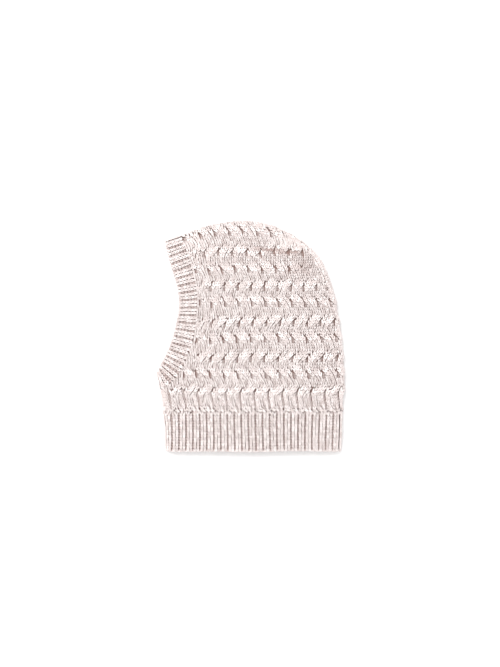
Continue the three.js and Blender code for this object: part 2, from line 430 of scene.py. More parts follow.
class Stitches:
    """Places of many like stitches on a layer's flat sheet, with the way each one points."""

    def __init__(self, sheet, heading, width, row, height, side):
        count = len(sheet)
        self.sheet = sheet
        self.heading = unit(np.broadcast_to(heading, sheet.shape))
        self.width = np.full(count, width, float)
        self.row = np.full(count, row, float)
        self.height = np.full(count, height, float)
        # Painted shade: how much darker each stitch is coloured for the shade of its neighbours
        self.painted_shade = np.zeros(count)
        self.side = side
        self.inner = False

    def keep(self, wanted):
        """Only the wanted stitches stay."""
        for name in ("sheet", "heading", "width", "row", "height", "painted_shade"):
            setattr(self, name, getattr(self, name)[wanted])
        return self


def loosen(stitches, shift=0.10, turn=0.05, size=0.05):
    """Small hand-made differences from stitch to stitch, and slow waves in the rows."""
    n = len(stitches.sheet)
    x, y = stitches.sheet.T
    wave_x = 0.35 * np.sin(y / 11.0 + x / 37.0) + 0.25 * np.sin(y / 23.0 - x / 19.0 + 2.0)
    wave_y = 0.35 * np.sin(x / 13.0 + y / 41.0 + 1.0) + 0.25 * np.sin(x / 29.0 + y / 17.0)
    stitches.sheet = stitches.sheet + pairs(wave_x, wave_y) + rng.normal(0, shift, (n, 2))
    angle = rng.normal(0, turn, n)
    c, s = np.cos(angle), np.sin(angle)
    hx, hy = stitches.heading.T
    stitches.heading = pairs(c * hx - s * hy, s * hx + c * hy)
    stitches.width = stitches.width * (1 + rng.normal(0, size, n))
    stitches.row = stitches.row * (1 + rng.normal(0, size, n))
    stitches.height = stitches.height + rng.normal(0, 0.08, n)
    return stitches


def lay(stitches, template):
    """Vertices, faces and yarn coordinates of all the stitches, wrapped round the folds; the yarn
    coordinates carry each vertex's painted shade.
    """
    verts, faces, along, around = template
    step = 0.4
    heading = stitches.heading
    middle = wrap(stitches.sheet, stitches.side)
    up = unit(wrap(stitches.sheet + heading * step, stitches.side) - middle)
    out = wrap(stitches.sheet - quarter_turn(heading) * step, stitches.side) - middle
    out = unit(out - up * np.sum(out * up, axis=1)[:, None]) * stitches.side
    normal = np.cross(out, up)
    local_x = verts[:, 0] * stitches.width[:, None]
    local_y = verts[:, 1] * stitches.row[:, None]
    if stitches.inner:
        local_x = -local_x
        local_z = -verts[:, 2] - stitches.height[:, None] - WALL
    else:
        free = smoothstep(middle[:, 2], 0.5, FOLD_RADIUS * 0.8)
        height = lerp(stitches.height * PRESSED_RELIEF - PRESS, stitches.height, free)
        local_z = verts[:, 2] + height[:, None]
    places = middle[:, None] + local_x[..., None] * out[:, None] + local_y[..., None] * up[:, None]
    places = places + local_z[..., None] * normal[:, None]
    places[..., 2] = np.maximum(places[..., 2], FLOOR_GAP)
    count, size = len(middle), len(verts)
    all_faces = faces + (np.arange(count) * size)[:, None, None]
    tone = np.repeat(rng.uniform(0, 1, count), size)
    # Painted shade: the lower half of each stitch is coloured darker, and so is a whole stitch in its
    # neighbours' shade
    sunk = smoothstep(-verts[:, 2], -0.1, 0.75)
    shade_share = np.maximum(np.tile(sunk, count) * LOWER_HALF_SHADE, np.repeat(stitches.painted_shade, size))
    length = np.tile(along, count) * np.repeat(stitches.row, size) * 0.72
    turn = np.tile(around, count)
    yarn = np.column_stack([length, shade_share, tone, np.cos(turn), np.sin(turn)])
    return places.reshape(-1, 3), all_faces.reshape(-1, 3), yarn


# The body's knit

UNITS = LAST_UNIT - FIRST_UNIT + 1
STAGGER = {side: rng.normal(0, 0.3, (UNITS, WALES)) for side in (1, -1)}
VARY = {side: rng.normal(0, 1, (2, len(CROSSINGS), UNITS)).clip(-2, 2) for side in (1, -1)}


def crest_x(y):
    """The back fold's line on the flat sheet."""
    slope = follow(BACK, y + 0.5) - follow(BACK, y - 0.5)
    return follow(BACK, y) + UNFOLD * np.hypot(1, slope)


def boundary(k, y, side):
    """Where unit k begins, across the sheet at height y."""
    anchor = follow(ANCHOR, y)
    fitted_y = np.minimum(y, 56)
    room = crest_x(fitted_y) - CREST_GAP[side] - follow(ANCHOR, fitted_y)
    pitch = lerp(room / LAST_UNIT, CROWN_UNIT, smoothstep(y, 56, 88))
    strip = (anchor - follow(BAND_SEAM, y)) * WALES / PLAIN_WALES
    first = anchor - lerp(UNIT, strip, smoothstep(y, -24, 4))
    second = first - UNIT
    front = follow(NECK_FRONT, y) - UNFOLD
    x = anchor + pitch * k
    x = np.where(k == LAST_UNIT + 1, anchor + pitch * LAST_UNIT + UNIT, x)
    x = np.where(k == -1, first, x)
    x = np.where(k == -2, second, x)
    x = np.where(k == -3, (second + front) / 2, x)
    return np.where(k == FIRST_UNIT, front, x)


def sway(x, y, side):
    """How far the knit sways sideways. It changes between the crossings, and drifts above the rib."""
    edge = np.maximum(follow(BAND_SEAM, y), follow(NECK_FRONT, y))
    loose = smoothstep(x - edge, 0, SWAY_REACH) * (1 - plain_crown(x, y))
    u = np.clip((x - follow(ANCHOR, y)) / (UNIT * LAST_UNIT), 0, 1)
    place = np.interp(y, CROSSINGS, np.arange(len(CROSSINGS)))
    passed = np.floor(place) + smoothstep(place % 1, 0.15, 0.85)
    front, middle, back = [np.interp(passed, np.arange(len(SWAY)), column) for column in zip(*SWAY)]
    swung = front * (1 - u) * (1 - 2 * u) + 4 * middle * u * (1 - u) + back * u * (2 * u - 1)
    return (side * swung + RIB_DRIFT * (1 - smoothstep(y, -74, -60))) * loose


def strength(k, y, side):
    """How strongly the cables of a unit show, from 0 to 1."""
    left = boundary(k, y, side)
    room = smoothstep(left - follow(BAND_SEAM, y), -2, 5)
    plain = np.select([k <= FIRST_UNIT, k == FIRST_UNIT + 1], [0.0, 0.7], 1.0)
    return room * plain * (1 - plain_crown(left + UNIT / 2, y))


def plain_crown(x, y):
    """1 in the back of the crown, where the cables fade out."""
    hollow = smoothstep(x, follow(PLAIN_EDGE, y), follow(PLAIN_EDGE, y) + 7) * smoothstep(y, 58, 64)
    beside_dart = smoothstep(x - follow(DART, y), -12, -6) * smoothstep(y, 40, 46)
    return np.maximum(hollow, beside_dart)


def crossing_y(k, n, side):
    """The height of crossing n in unit k."""
    return np.array(CROSSINGS)[n] + VARY[side][0][n, k - FIRST_UNIT] * CROSSING_VARY


def bell(t):
    """1 in the middle of a crossing and 0 at its ends."""
    return np.cos(t * math.pi / 2) ** 2


def front_strand(t, order, vary):
    """The strand on top: where its wales lie, its middle and half its width."""
    middle = STRAND_HALF * (2 * smoothstep(t, -1, 1) - 1)
    half = STRAND_HALF * (1 + (FRONT_SPREAD + SPREAD_VARY * vary) * bell(t))
    return middle + half * (order - 1) / 1.5, middle, half


def back_strand(t, order, n, below, middle, half):
    """The strand underneath: where its wales lie, how far each is covered, how deep it lies, and
    how far it is the outermost one, beside a slit."""
    first = n == 0
    squeeze = 1 - BACK_SQUEEZE * bell(t)
    slit = np.select([n == 1, n > 1], [FIRST_SLIT, smoothstep(t, -1.0, -0.85)], 0.0) * below
    below_x = 0.5 - squeeze * (2.5 - order) / WALES - SLIT_GAP * slit * (order + 1) / 3
    above_x = -0.5 + squeeze * (order + 0.5) / WALES
    x = np.where(below, below_x, above_x)
    over = np.where(below, middle - x, x - middle) + half
    covered = smoothstep(over, np.where(below, COVER_BELOW, COVER_ABOVE), COVER_FULL)
    between = first & below & (order == 2)
    x = x + BETWEEN_SHIFT * bell(t) * between
    covered = np.where(between, 0, covered)
    opening = OPEN_DROP * np.array(OPEN_SHARES)[order] * smoothstep(t, OPEN_FROM, OPEN_TO)
    drop = np.where(below & ~first, opening, UNDER_DROP * bell(t))
    covered = np.where(~below & ~first & (order == 0) & (t < OPEN_ABOVE), 1.0, covered)
    return x, covered, np.maximum(drop, covered * COVERED), slit


def strand(k, wale, y, n, end, side):
    """Where a wale lies below crossing n (end is -1) or above it (end is 1): x, height, width, how
    far it is covered, and its place t along the crossing, from -1 to 1. Wales 3 to 5 are in front."""
    left, right = boundary(k, y, side), boundary(k + 1, y, side)
    way = np.where(n % 2 == 0, -1.0, 1.0) * side
    first, below, front = n == 0, end < 0, wale >= 3
    reach = np.where(first, FIRST_HALF, CROSS_HALF)
    t = np.clip((y - crossing_y(k, n, side)) / reach, -1, 1)
    t = lerp(end, t, strength(k, y, side))
    order = np.where(way > 0, wale % 3, 2 - wale % 3)
    front_x, middle, half = front_strand(t, order, VARY[side][1][n, k - FIRST_UNIT])
    back_x, covered, drop, slit = back_strand(t, order, n, below, middle, half)
    above_first = first & ~below
    outermost = np.maximum(slit * (order == 2), (above_first & (wale == 2)) * FIRST_SLIT)
    drop = np.maximum(drop, SLIT_DROP * outermost)
    x = left + (right - left) * (0.5 + np.where(front, front_x, back_x) * way)
    moved = sway(x, y, side)
    stretch = sway(x + 1, y, side) - moved
    mix = smoothstep(y, KNIT_START_Y - 1, KNIT_START_Y + 5)
    x = lerp(rib_x(k, wale, side), x + moved, mix)
    beside_slit = ((slit > 0) | above_first) * np.where(n <= 1, 2.2, 1) * np.isin(wale, [1, 3])
    squeeze = 1 - BACK_SQUEEZE * bell(t)
    width = np.where(front, half / STRAND_HALF * (1 + FRONT_WIDER * bell(t)), squeeze)
    width = width * (1 + SLIT_WIDER * beside_slit)
    width = width * (right - left) / WALES * (1 + np.clip(stretch, -0.2, 0.35))
    height = np.where(front, FRONT_RISE * bell(t), -drop) - STRAND_ROUND * np.abs(wale % 3 - 1)
    covered = np.where(front, 0, np.maximum(covered, outermost * 0.8))
    return x, height, width, covered, t


def rib_x(k, wale, side):
    """Place of a rib's wale across the sheet."""
    last = crest_x(HEM_Y) - 2.0
    pitch = (last - RIB_START) / LAST_UNIT if side < 0 else RIB_UNIT
    pitch = np.where(k < 0, RIB_UNIT, pitch)
    return RIB_START + pitch * k + np.array(RIB_PLACES)[wale] * pitch / RIB_UNIT


def row_size(y):
    """The height of a row, which is smaller in the crown."""
    return lerp(ROW, CROWN_ROW, smoothstep(y, 20, 80))


def row_lines(start, stop):
    """Heights of the rows."""
    rows = [start + ROW / 2]
    while rows[-1] < stop:
        rows.append(rows[-1] + row_size(rows[-1]))
    return np.array(rows[:-1])


def wales_and_rows(side, rows):
    """Unit, wale and height of every stitch of a layer whose wales run straight up."""
    last = LAST_UNIT if side > 0 else LAST_UNIT - 1
    units = np.arange(FIRST_UNIT, last + 1)
    return combined(units, np.arange(WALES), rows)


def dart_side(sheet):
    """Positive to the right of the dart."""
    return sheet[:, 0] - follow(DART, sheet[:, 1])


def on_body_layer(sheet, side):
    """Whether a place is on a layer's own part of the body's knit, between its folds."""
    x, y = sheet.T
    at_back = (side > 0) & (x > BACK_FROM_X) & (dart_side(sheet) < 0) & (y < 60)
    limit = np.select([at_back, y > 80], [PAST_BACK, PAST_CROWN], SHORT_OF_CREST)
    return nearest(CRESTS, sheet)[0] > limit


def body_knit(side):
    """The body's stitches whose wales run straight up."""
    k, wale, y = wales_and_rows(side, row_lines(KNIT_START_Y, 124))
    n = np.abs(y[:, None] - CROSSINGS).argmin(axis=1)
    end = np.where(y < crossing_y(k, n, side) + FIRST_SPLIT * (n == 0), -1.0, 1.0)
    x, height, width, covered, t = strand(k, wale, y, n, end, side)
    step = 0.4
    slope = strand(k, wale, y + step, n, end, side)[0] - strand(k, wale, y - step, n, end, side)[0]
    slope = slope / (2 * step)
    lean = np.hypot(1, slope)
    bow = np.minimum(follow(CROWN, np.minimum(x, 60)) - 118, 0) * CREST_BOW * smoothstep(y, 88, 112)
    sheet = pairs(x, y + bow + STAGGER[side][k - FIRST_UNIT, wale])
    from_seam, beside = seam_distance(sheet), dart_side(sheet)
    crease = np.exp(-((y - follow(CREASE, x)) / CREASE_HALF) ** 2)
    crease = crease * smoothstep(x, -4, 8) * (1 - smoothstep(x, 48, 60))
    hollow_x, hollow_y, reach_x, reach_y = HOLLOW_SHADE
    hollow = np.exp(-((x - hollow_x) / reach_x) ** 2 - ((y - hollow_y) / reach_y) ** 2)
    groove = (wale == 3) & (y < KNIT_START_Y + ROW)
    height = height - CREASE_DEPTH * crease - GROOVE_DROP * groove
    height = height - SEAM_DROP * (1 - smoothstep(from_seam, SEAM_LIMIT, 1.2))
    height = height - DART_DROP * smoothstep(beside, -2.5, 0)
    knit = Stitches(sheet, pairs(slope, 1.0), width / lean * 1.02, row_size(y) * lean, height, side)
    # Painted shade: the yarn is coloured darker in the crease, under the front strand, in the crown's
    # hollow, in the groove above the rib and a little between the crossings
    shades = [
        crease * CREASE_DARK, covered * COVERED_DARK, hollow * HOLLOW_DARK,
        groove * GROOVE_DARK, PLAIN_DARK * (1 - bell(t)),
    ]
    knit.painted_shade = np.max(shades, axis=0)
    under_front = (covered > 0.92) | ((t < 0) & (t > OPEN_TO) & (n > 0))
    hidden = (wale < 3) & under_front
    wanted = (from_seam > SEAM_LIMIT) & (beside < 0.6) & ~hidden
    return knit.keep(wanted & on_body_layer(sheet, side))


def seam_distance(sheet):
    """Distance from the band's seam, positive on the body's side."""
    line = trace(BAND_SEAM, "y", 79)
    gaps = np.linalg.norm(sheet[:, None] - line, axis=2).min(axis=1)
    right = sheet[:, 0] > follow(BAND_SEAM, sheet[:, 1])
    return np.where(right, gaps, -gaps)


def crown_side_knit(side):
    """The strip of plain wales that follows the back of the crown."""
    crest = np.concatenate([CRESTS[2], CRESTS[1][::-1]])
    crest = crest[(crest[:, 1] > STRIP_FROM) & (crest[:, 0] > STRIP_FROM)]
    gaps = np.linalg.norm(np.diff(crest, axis=0), axis=1)
    crest = crest[np.r_[True, gaps > 0.6]]
    length = lengths_along(crest)[-1]
    steps = np.arange(CROWN_ROW / 2, length, CROWN_ROW)
    wale, at = combined(np.arange(STRIP_WALES), steps / length)
    tangent = direction_along(crest, at)
    sheet = along_line(crest, at) + quarter_turn(tangent) * ((wale + 0.5) * STRIP_WALE)[:, None]
    every_third = -0.4 * (wale % 3 == 2)
    knit = Stitches(sheet, tangent, STRIP_WALE * 0.92, CROWN_ROW, every_third, side)
    return knit.keep(dart_side(sheet) > 0)


# The rib and the band

def on_rib_layer(sheet, side):
    """Whether a place is on a layer's own part of the rib, between its folds."""
    at_back = (side > 0) & (sheet[:, 0] > BACK_FROM_X)
    return nearest(CRESTS, sheet)[0] > np.where(at_back, PAST_RIB, RIB_SHORT)


def rib_knit(side):
    """The neck rib's knit wales and its purl grooves."""
    k, wale, y = wales_and_rows(side, np.arange(HEM_Y + ROW * 0.6, KNIT_START_Y, ROW))
    x = rib_x(k, wale, side)
    front = follow(NECK_FRONT, y) - follow(NECK_FRONT, HEM_Y)
    sheet = pairs(x + front * smoothstep(x, -70, -94), y)
    purl = np.isin(wale, PURL)
    wanted = on_rib_layer(sheet, side)
    knit = Stitches(sheet, UPWARD, KNIT_WIDTH, ROW, 0.1, side).keep(wanted & ~purl)
    bumps = Stitches(sheet, UPWARD, PURL_WIDTH, ROW * PURL_LENGTH, -PURL_DROP, side)
    # Painted shade: the rib's purl grooves are coloured darker
    bumps.painted_shade += RIB_PURL_DARK
    return knit, bumps.keep(wanted & purl)


def fold_squeeze(sheet):
    """How much narrower the inside of the knit is, where it turns round a fold."""
    arc = nearest(CRESTS, sheet)[0]
    return lerp(1 - WALL / FOLD_RADIUS, 1, smoothstep(arc, QUARTER - 2, QUARTER + 2))


def hem_edge(side):
    """The cast-on edge at the hem."""
    k, wale, y = wales_and_rows(side, [HEM_Y + 0.8])
    sheet = pairs(rib_x(k, wale, side), y)
    links = Stitches(sheet, SIDEWAYS, 1.9, RIB_UNIT / WALES, EDGE_HEIGHT, side)
    return links.keep(on_rib_layer(sheet, side))


def rib_inside(side):
    """The first rows inside the neck, where each purl groove shows as a knit wale."""
    k, wale, y = wales_and_rows(side, HEM_Y + ROW * (0.9 + np.arange(INSIDE_ROWS)))
    sheet = pairs(rib_x(k, wale, side), y)
    purl = np.isin(wale, PURL)
    wanted = on_rib_layer(sheet, side)
    knit = Stitches(sheet, UPWARD, 2.6 * fold_squeeze(sheet), ROW, 0.2, side)
    bumps = Stitches(sheet, UPWARD, 2.4 * fold_squeeze(sheet), ROW, -0.5, side)
    knit.inner = bumps.inner = True
    return knit.keep(wanted & purl), bumps.keep(wanted & ~purl)


def band_lines():
    """The face edge and the band's seam on the flat sheet, from the chin to the forehead."""
    edge = trace(FACE_EDGE, "y", 240)
    y = np.linspace(-58, 118, 2000)
    seam = pairs(follow(BAND_SEAM, y), y)
    seam = seam[seam[:, 0] > follow(NECK_FRONT, seam[:, 1])]
    seam = seam[seam[:, 1] < follow(CROWN, seam[:, 0])]
    return unfold(edge), unfold(seam)


def seam_share(share):
    """The share of the seam that goes with a share of the face edge."""
    return np.interp(share, *zip(*BAND_LINK))


def lengths_along(line):
    """The length of a line up to each of its points."""
    return np.r_[0, np.cumsum(np.linalg.norm(np.diff(line, axis=0), axis=1))]


def along_line(line, share):
    """The place at a share of a line's length."""
    length = lengths_along(line)
    at = np.asarray(share) * length[-1]
    return pairs(np.interp(at, length, line[:, 0]), np.interp(at, length, line[:, 1]))


def direction_along(line, share):
    """The way that a line runs at a share of its length."""
    ahead = along_line(line, np.minimum(share + 0.01, 1))
    return unit(ahead - along_line(line, np.maximum(share - 0.01, 0)))


def band_knit(side):
    """The face band's knit wales and purl grooves, square to the face edge."""
    edge, seam = band_lines()
    rib, part, row = combined(np.arange(-1, 21), np.arange(3), np.arange(BAND_ROWS))
    place = rib + BAND_START + np.array(BAND_PLACES)[part]
    above = np.maximum(place - WIDER_FROM, 0)
    share = (place + WIDER * above ** 3) / BAND_RIBS
    on_edge = np.clip(share, 0, 1)
    out, inn = along_line(edge, on_edge), along_line(seam, seam_share(on_edge))
    across = (row + 0.5)[:, None] / BAND_OUTSIDE_ROWS
    sheet = lerp(inn, out, across)
    heading = out - inn
    length = np.linalg.norm(heading, axis=1)
    low, high = np.clip(share - 0.5 / BAND_RIBS, 0, 1), np.clip(share + 0.5 / BAND_RIBS, 0, 1)
    rib_out = along_line(edge, high) - along_line(edge, low)
    rib_in = along_line(seam, seam_share(high)) - along_line(seam, seam_share(low))
    ribs = np.maximum((high - low) * BAND_RIBS, 0.1)
    gap = lerp(rib_in, rib_out, across) / ribs[:, None]
    ahead = unit(heading)
    wider = 1 + 3 * WIDER * above ** 2
    pitch = np.abs(gap[:, 0] * ahead[:, 1] - gap[:, 1] * ahead[:, 0]) * wider
    purl = part == 0
    lowest, highest = BAND_REACH[side]
    wanted = (share > lowest) & (share < highest)
    row_length = length / BAND_OUTSIDE_ROWS
    knit = Stitches(sheet, heading, pitch * BAND_KNIT_WIDTH, row_length, 0.1, side).keep(wanted & ~purl)
    row_length = row_length * PURL_LENGTH
    bumps = Stitches(sheet, heading, pitch * BAND_PURL_WIDTH, row_length, 0.3 - PURL_DROP, side)
    # Painted shade: the band's purl grooves are coloured darker
    bumps.painted_shade += BAND_PURL_DARK
    return knit, bumps.keep(wanted & purl)


def face_edge(side):
    """The bound-off edge round the face."""
    edge, _ = band_lines()
    count = int(BAND_RIBS * 3)
    share = np.arange(count + 1) / count
    ahead = direction_along(edge, share)
    sheet = along_line(edge, share) - quarter_turn(ahead) * 0.75
    return Stitches(sheet, ahead, 1.8, lengths_along(edge)[-1] / count, EDGE_HEIGHT, side)


def band_inside(side):
    """The outermost rows on the inside of the band."""
    edge, seam = band_lines()
    count = int(BAND_RIBS * 3)
    wale, row = combined(np.arange(count + 1), np.arange(INSIDE_ROWS - 1))
    out, inn = along_line(edge, wale / count), along_line(seam, seam_share(wale / count))
    sheet = lerp(out, inn, ((row + BAND_INSIDE_FIRST) / BAND_INSIDE_ROWS)[:, None])
    heading = inn - out
    row_length = np.linalg.norm(heading, axis=1) / BAND_INSIDE_ROWS
    pitch = lengths_along(edge)[-1] / count
    knits = wale % 3 == 1
    knit = Stitches(sheet, heading, pitch * 1.05, row_length, 0.2, side)
    bumps = Stitches(sheet, heading, pitch, row_length, -0.5, side)
    knit.inner = bumps.inner = True
    return knit.keep(knits), bumps.keep(~knits)


# The core that the stitches lie on

FOLD_SIDES = {"rib": {"left", "right"}, "body": {"right", "top"}, "band": {"bottom", "top"}}
CORE_SIZE = {"rib": (185.0, 43.0), "body": (160.0, 190.0), "band": (18.0, 160.0)}
CORE_DEPTH = 2.2
CORE_STEP = 3.0
CORE_EDGE = 0.6
CORE_JOIN_Y = RIB_TOP_Y + 1


def grid_lines(low_fold, high_fold, radius, size, count):
    """Fractions across a patch, close together beside a fold."""
    turns = 1 - np.cos(np.linspace(0, math.pi / 2, 5, endpoint=False))
    low = turns * radius / size if low_fold else []
    high = 1 - (turns * radius / size)[::-1] if high_fold else [1.0]
    start = radius / size if low_fold else 0.0
    stop = 1 - radius / size if high_fold else 1.0
    middle = np.linspace(start, stop, count, endpoint=False)
    return np.concatenate([low, middle, [stop] if high_fold else [], high])


def patch(sides, u, v):
    """The grid of a plan region, from the curves of its four sides."""
    u, v = u[None, :, None], v[:, None, None]
    left, right = sides["left"](v.ravel())[:, None], sides["right"](v.ravel())[:, None]
    bottom, top = sides["bottom"](u.ravel())[None], sides["top"](u.ravel())[None]
    corners = (1 - u) * (1 - v) * bottom[:, :1] + u * (1 - v) * bottom[:, -1:]
    corners = corners + (1 - u) * v * top[:, :1] + u * v * top[:, -1:]
    return (1 - v) * bottom + v * top + (1 - u) * left + u * right - corners


def fold_in(rows, inset):
    """A fold's curve drawn in by the inset, as a function of its first column."""
    way = np.sign(-follow(rows, rows[len(rows) // 2][0]))

    def at(value):
        slope = follow(rows, value + 0.5) - follow(rows, value - 0.5)
        return follow(rows, value) + way * inset * np.hypot(1, slope)
    return at


def meeting(of_y, of_x, low, high):
    """Height at which the curve x = of_y(y) meets the curve y = of_x(x)."""
    for _ in range(60):
        middle = (low + high) / 2
        if middle < of_x(of_y(middle)):
            low = middle
        else:
            high = middle
    return (low + high) / 2


def upright(of_y, low, high):
    """The stretch of the curve x = of_y(y) between two heights, as a function from 0 to 1."""
    def at(share):
        y = lerp(low, high, share)
        return pairs(of_y(y), y)
    return at


def level(of_x, low, high):
    """The stretch of the curve y = of_x(x) between two x values, as a function from 0 to 1."""
    def at(share):
        x = lerp(low, high, share)
        return pairs(x, of_x(x))
    return at


def region_sides(region, inset):
    """The four sides of the plan region of the body, the rib or the band."""
    front, back, crown = fold_in(NECK_FRONT, inset), fold_in(BACK, inset), fold_in(CROWN, inset)
    seam, face = partial(follow, BAND_SEAM), partial(follow, FACE_EDGE)
    join = level(lambda x: CORE_JOIN_Y, front(CORE_JOIN_Y), back(CORE_JOIN_Y))
    top_y = meeting(seam, crown, 60, 118)
    if region == "rib":
        hem = HEM_Y + CORE_EDGE
        return {
            "left": upright(front, hem, CORE_JOIN_Y),
            "right": upright(back, hem, CORE_JOIN_Y),
            "bottom": level(lambda x: hem, front(hem), back(hem)),
            "top": join,
        }
    if region == "body":
        nape = BACK[-1][0] - inset * 0.4
        return {
            "left": upright(lambda y: np.maximum(seam(y), front(y)), CORE_JOIN_Y, top_y),
            "right": upright(back, CORE_JOIN_Y, nape),
            "bottom": join,
            "top": level(crown, seam(top_y), back(nape)),
        }
    chin_rows, chin_xs = zip(*BAND_SEAM[:5])
    chin_seam = meeting(front, lambda x: np.interp(x, chin_xs, chin_rows), -58, -45)
    chin_edge = FACE_EDGE[0][0] + inset * 0.6
    top_edge = meeting(face, crown, 60, 110)
    return {
        "left": upright(lambda y: np.maximum(face(y) + CORE_EDGE, front(y)), chin_edge, top_edge),
        "right": upright(seam, chin_seam, top_y),
        "bottom": upright(front, chin_edge, chin_seam),
        "top": level(crown, face(top_edge), seam(top_y)),
    }


def layer_grids(region, inset):
    """The upper and the lower layer of a region's surface, drawn in by the inset, and which of its
    points lie on a fold."""
    folds = FOLD_SIDES[region]
    radius = FOLD_RADIUS - inset
    width, height = CORE_SIZE[region]
    turn = FOLD_RADIUS - CORE_DEPTH
    left_fold = "left" in folds or region == "body"
    u = grid_lines(left_fold, "right" in folds, turn, width, int(width / CORE_STEP))
    v = grid_lines("bottom" in folds, "top" in folds, turn, height, int(height / CORE_STEP))
    plan = patch(region_sides(region, inset), u, v)
    flat, shape = plan.reshape(-1, 2), plan.shape[:2]
    lines = [line + normals_of(line) * inset for line in FOLDS]
    share = np.clip(np.abs(nearest(lines, flat)[0]) / radius, 0, 1).reshape(shape)
    on_fold = np.zeros(shape, bool)
    cuts = {"right": np.s_[:, -1], "left": np.s_[:, 0], "top": np.s_[-1], "bottom": np.s_[0]}
    for name in folds:
        on_fold[cuts[name]] = True
    if region == "body":
        on_fold[:, 0] = plan[:, 0, 0] < follow(NECK_FRONT, plan[:, 0, 1]) + inset + 1e-3
    share = np.where(on_fold, 0, share)
    lift = radius * np.sqrt(1 - (1 - share) ** 2)
    loft = loft_at(flat, np.abs(nearest(FOLDS, flat)[0])).reshape(shape) * share
    upper = np.dstack([plan, FOLD_RADIUS + lift + loft])
    lower = np.dstack([plan, FOLD_RADIUS - lift])
    return upper, lower, on_fold


def two_triangles(a, b, c, d):
    """The triangles of quads with these corners."""
    halves = np.stack([a, b, c], axis=-1), np.stack([a, c, d], axis=-1)
    return np.concatenate([half.reshape(-1, 3) for half in halves])


def grid_faces(index):
    """Two triangles a cell, seen counter-clockwise from above."""
    return two_triangles(index[:-1, :-1], index[:-1, 1:], index[1:, 1:], index[1:, :-1])


def core_mesh(region):
    """A region's core as one closed shell: places, faces, and which faces look into the hood."""
    outer_up, outer_low, fold = layer_grids(region, CORE_DEPTH)
    inner_up, inner_low, _ = layer_grids(region, WALL)
    shape, count = fold.shape, fold.size
    places = np.concatenate([g.reshape(-1, 3) for g in (outer_up, outer_low, inner_up, inner_low)])
    index = np.arange(count).reshape(shape)
    ou, ol = index, np.where(fold, index, index + count)
    iu, il = index + 2 * count, np.where(fold, index + 2 * count, index + 3 * count)
    outside = np.concatenate([grid_faces(ou), grid_faces(ol)[:, ::-1]])
    inside = np.concatenate([grid_faces(iu)[:, ::-1], grid_faces(il)])
    rims = []
    edges = [(np.s_[0], 1), (np.s_[-1], -1), (np.s_[:, 0], -1), (np.s_[:, -1], 1)]
    for cut, way in edges:
        open_here = ~(fold[cut][:-1] & fold[cut][1:])
        for out, inn, sense in ((ou, iu, way), (ol, il, -way)):
            o, i = out[cut], inn[cut]
            corners = [i[1:], o[1:], o[:-1], i[:-1]]
            quads = two_triangles(*[corner[open_here] for corner in corners])
            rims.append(quads if sense > 0 else quads[:, ::-1])
    rim = np.concatenate(rims)
    faces = np.concatenate([outside, inside, rim])
    looks_in = np.repeat([0, 1, 1], [len(outside), len(inside), len(rim)])
    whole = (faces[:, 0] != faces[:, 1]) & (faces[:, 1] != faces[:, 2]) & (faces[:, 2] != faces[:, 0])
    used, renumbered = np.unique(faces[whole], return_inverse=True)
    return places[used], renumbered.reshape(-1, 3), looks_in[whole]


# Materials and meshes

PLIES = 3
TWIST = 5.4
# The yarn's light and darker tones, which differ at random, and the colour of the painted shade mixed
# into it
LIGHT_YARN = (0.87, 0.81, 0.793)
DARK_YARN = (0.67, 0.59, 0.57)
PAINTED_SHADE_COLOUR = (0.36, 0.225, 0.195)


def new_material(name, roughness, specular):
    """A material, its node tree and its shader."""
    mat = bpy.data.materials.new(name)
    mat.use_nodes = True
    shader = mat.node_tree.nodes["Principled BSDF"]
    shader.inputs["Roughness"].default_value = roughness
    shader.inputs["Specular IOR Level"].default_value = specular
    return mat, mat.node_tree, shader


def split_parts(tree, source):
    """The X, Y and Z outputs of a node output."""
    split = tree.nodes.new("ShaderNodeSeparateXYZ")
    tree.links.new(source, split.inputs[0])
    return split.outputs


def attribute_parts(tree, name):
    """The X, Y and Z outputs of a mesh attribute."""
    attribute = tree.nodes.new("ShaderNodeAttribute")
    attribute.attribute_name = name
    return split_parts(tree, attribute.outputs["Vector"])


def own_place(tree):
    """A piece's own coordinates."""
    return tree.nodes.new("ShaderNodeTexCoord").outputs["Object"]


def math_node(tree, operation, first, second=None):
    """What an operation gives for one or two values, each a number or a node output."""
    node = tree.nodes.new("ShaderNodeMath")
    node.operation = operation
    for socket, value in zip(node.inputs, (first, second)):
        if isinstance(value, (int, float)):
            socket.default_value = value
        elif value is not None:
            tree.links.new(value, socket)
    return node.outputs[0]


def noise(tree, scale, detail=2):
    """Cloudy noise in a piece's own coordinates."""
    node = tree.nodes.new("ShaderNodeTexNoise")
    node.inputs["Scale"].default_value = scale
    node.inputs["Detail"].default_value = detail
    tree.links.new(own_place(tree), node.inputs["Vector"])
    return node.outputs["Fac"]


def ramp(tree, factor, low, high):
    """A colour between two others."""
    node = tree.nodes.new("ShaderNodeValToRGB")
    node.color_ramp.elements[0].color = (*low, 1)
    node.color_ramp.elements[1].color = (*high, 1)
    tree.links.new(factor, node.inputs[0])
    return node.outputs[0]


def add_bump(tree, shader, height, distance, strength=1.0):
    """Fine relief on a shader, from a height and the distance that it stands for."""
    bump = tree.nodes.new("ShaderNodeBump")
    bump.inputs["Strength"].default_value = strength
    bump.inputs["Distance"].default_value = distance
    tree.links.new(height, bump.inputs["Height"])
    tree.links.new(bump.outputs[0], shader.inputs["Normal"])


